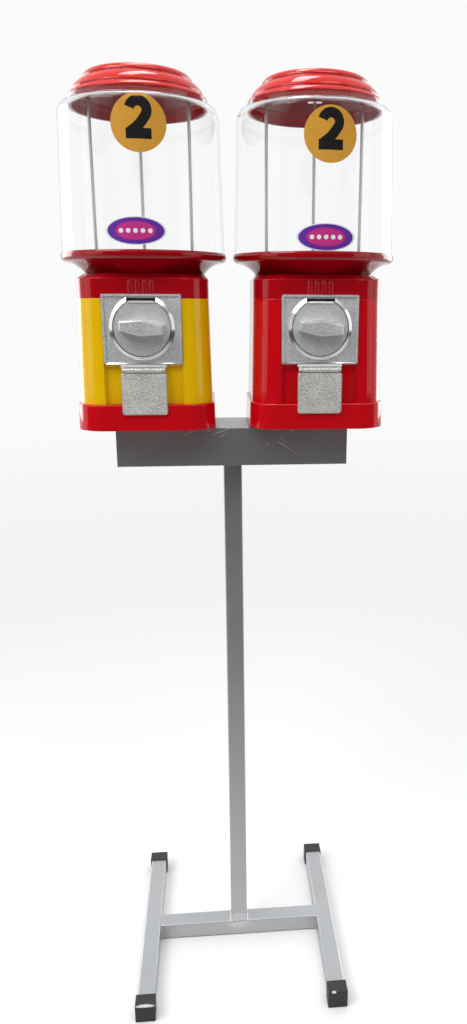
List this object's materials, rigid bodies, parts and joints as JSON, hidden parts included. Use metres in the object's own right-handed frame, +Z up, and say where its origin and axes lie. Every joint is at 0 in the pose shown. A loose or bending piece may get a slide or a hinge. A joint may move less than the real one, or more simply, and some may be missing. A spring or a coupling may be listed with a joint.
{
  "type": "gumball machine pair on a stand",
  "caption": "Coin-operated gumball machines side by side on a square-tube floor stand, with clear globes, stepped lids, turning coin knobs and hinged chute doors.",
  "frame": {"origin": "centre of the footprint on the floor, below the middle of the post", "axes": "+Z up, -Y towards the front with the knobs, +X to the right as seen from the front"},
  "size_m": [0.4216, 0.32, 1.2507],
  "materials": {
    "stand_paint": "satin grey paint",
    "black_rubber": "matt black",
    "red_plastic": "gloss red",
    "yellow_plastic": "gloss yellow",
    "clear_plastic": "clear",
    "white_plastic": "matt white",
    "steel_rod": "bright zinc plate",
    "zinc": "die-cast zinc, fine grain",
    "zinc_door": "die-cast zinc, hammered",
    "chrome": "polished"
  },
  "bodies": {
    "stand": {"stand_foot_left": "stand_paint", "stand_foot_right": "stand_paint", "stand_crossbar": "stand_paint", "stand_post": "stand_paint", "stand_header": "stand_paint", "foot_caps": "black_rubber", "base_pads": "black_rubber", "mount_bolts": "steel_rod", "mount_nuts": "steel_rod", "side_rods": "steel_rod", "rod_nuts": "steel_rod", "mech_screws": "steel_rod", "globe_gaskets": "black_rubber", "door_pins": "steel_rod", "left_base": "red_plastic", "left_body_top": "red_plastic", "left_hopper": "red_plastic", "left_wheel_housing": "white_plastic", "left_globe": "clear_plastic", "left_center_rod": "steel_rod", "left_wheel_cover": "white_plastic", "left_mech_plate": "zinc", "left_mech_ring": "chrome", "left_mech_housing": "zinc", "left_chute": "white_plastic", "left_body_panel": "yellow_plastic", "right_base": "red_plastic", "right_body_top": "red_plastic", "right_hopper": "red_plastic", "right_wheel_housing": "white_plastic", "right_globe": "clear_plastic", "right_center_rod": "steel_rod", "right_wheel_cover": "white_plastic", "right_mech_plate": "zinc", "right_mech_ring": "chrome", "right_mech_housing": "zinc", "right_chute": "white_plastic", "right_body_panel": "red_plastic"},
    "left_lid_body": {"left_lid": "red_plastic", "left_lock_barrel": "chrome"},
    "left_lock_body": {"left_lock_plug": "chrome"},
    "left_knob_body": {"left_knob": "zinc", "left_drive_shaft": "steel_rod", "left_drive_gear": "zinc", "left_ratchet": "zinc"},
    "left_wheel_body": {"left_wheel": "white_plastic", "left_agitator": "steel_rod"},
    "left_pawl_body": {"left_pawl": "zinc"},
    "left_door_body": {"left_door": "zinc_door"},
    "right_lid_body": {"right_lid": "red_plastic", "right_lock_barrel": "chrome"},
    "right_lock_body": {"right_lock_plug": "chrome"},
    "right_knob_body": {"right_knob": "zinc", "right_drive_shaft": "steel_rod", "right_drive_gear": "zinc", "right_ratchet": "zinc"},
    "right_wheel_body": {"right_wheel": "white_plastic", "right_agitator": "steel_rod"},
    "right_pawl_body": {"right_pawl": "zinc"},
    "right_door_body": {"right_door": "zinc_door"}
  },
  "joints": [
    {"name": "left_lid_lift", "type": "slide", "parent": "stand", "child": "left_lid_body", "axis": [0, 0, 1], "range_m": [0, 0.12]},
    {"name": "left_lock_turn", "type": "hinge", "parent": "left_lid_body", "child": "left_lock_body", "pos_m": [-0.1075, 0, 1.2492], "axis": [0, 0, 1], "continuous": true},
    {"name": "left_knob_turn", "type": "hinge", "parent": "stand", "child": "left_knob_body", "pos_m": [-0.1075, -0.0796, 0.9584], "axis": [0, 1, 0], "continuous": true},
    {"name": "left_wheel_turn", "type": "hinge", "parent": "stand", "child": "left_wheel_body", "pos_m": [-0.1075, 0, 0.984], "axis": [0, 0, 1], "continuous": true},
    {"name": "left_pawl_lift", "type": "hinge", "parent": "stand", "child": "left_pawl_body", "pos_m": [-0.0855, -0.068, 0.9794], "axis": [0, 1, 0], "range_deg": [0, 15]},
    {"name": "left_door_swing", "type": "hinge", "parent": "stand", "child": "left_door_body", "pos_m": [-0.1075, -0.0875, 0.908], "axis": [-1, 0, 0], "range_deg": [0, 80]},
    {"name": "right_lid_lift", "type": "slide", "parent": "stand", "child": "right_lid_body", "axis": [0, 0, 1], "range_m": [0, 0.12]},
    {"name": "right_lock_turn", "type": "hinge", "parent": "right_lid_body", "child": "right_lock_body", "pos_m": [0.1075, 0, 1.2492], "axis": [0, 0, 1], "continuous": true},
    {"name": "right_knob_turn", "type": "hinge", "parent": "stand", "child": "right_knob_body", "pos_m": [0.1075, -0.0796, 0.9584], "axis": [0, 1, 0], "continuous": true},
    {"name": "right_wheel_turn", "type": "hinge", "parent": "stand", "child": "right_wheel_body", "pos_m": [0.1075, 0, 0.984], "axis": [0, 0, 1], "continuous": true},
    {"name": "right_pawl_lift", "type": "hinge", "parent": "stand", "child": "right_pawl_body", "pos_m": [0.1295, -0.068, 0.9794], "axis": [0, 1, 0], "range_deg": [0, 15]},
    {"name": "right_door_swing", "type": "hinge", "parent": "stand", "child": "right_door_body", "pos_m": [0.1075, -0.0875, 0.908], "axis": [-1, 0, 0], "range_deg": [0, 80]}
  ],
  "couplings": [
    {"joint": "left_wheel_turn", "follows": "left_knob_turn", "ratio": 0.33333},
    {"joint": "right_wheel_turn", "follows": "right_knob_turn", "ratio": 0.33333}
  ]
}
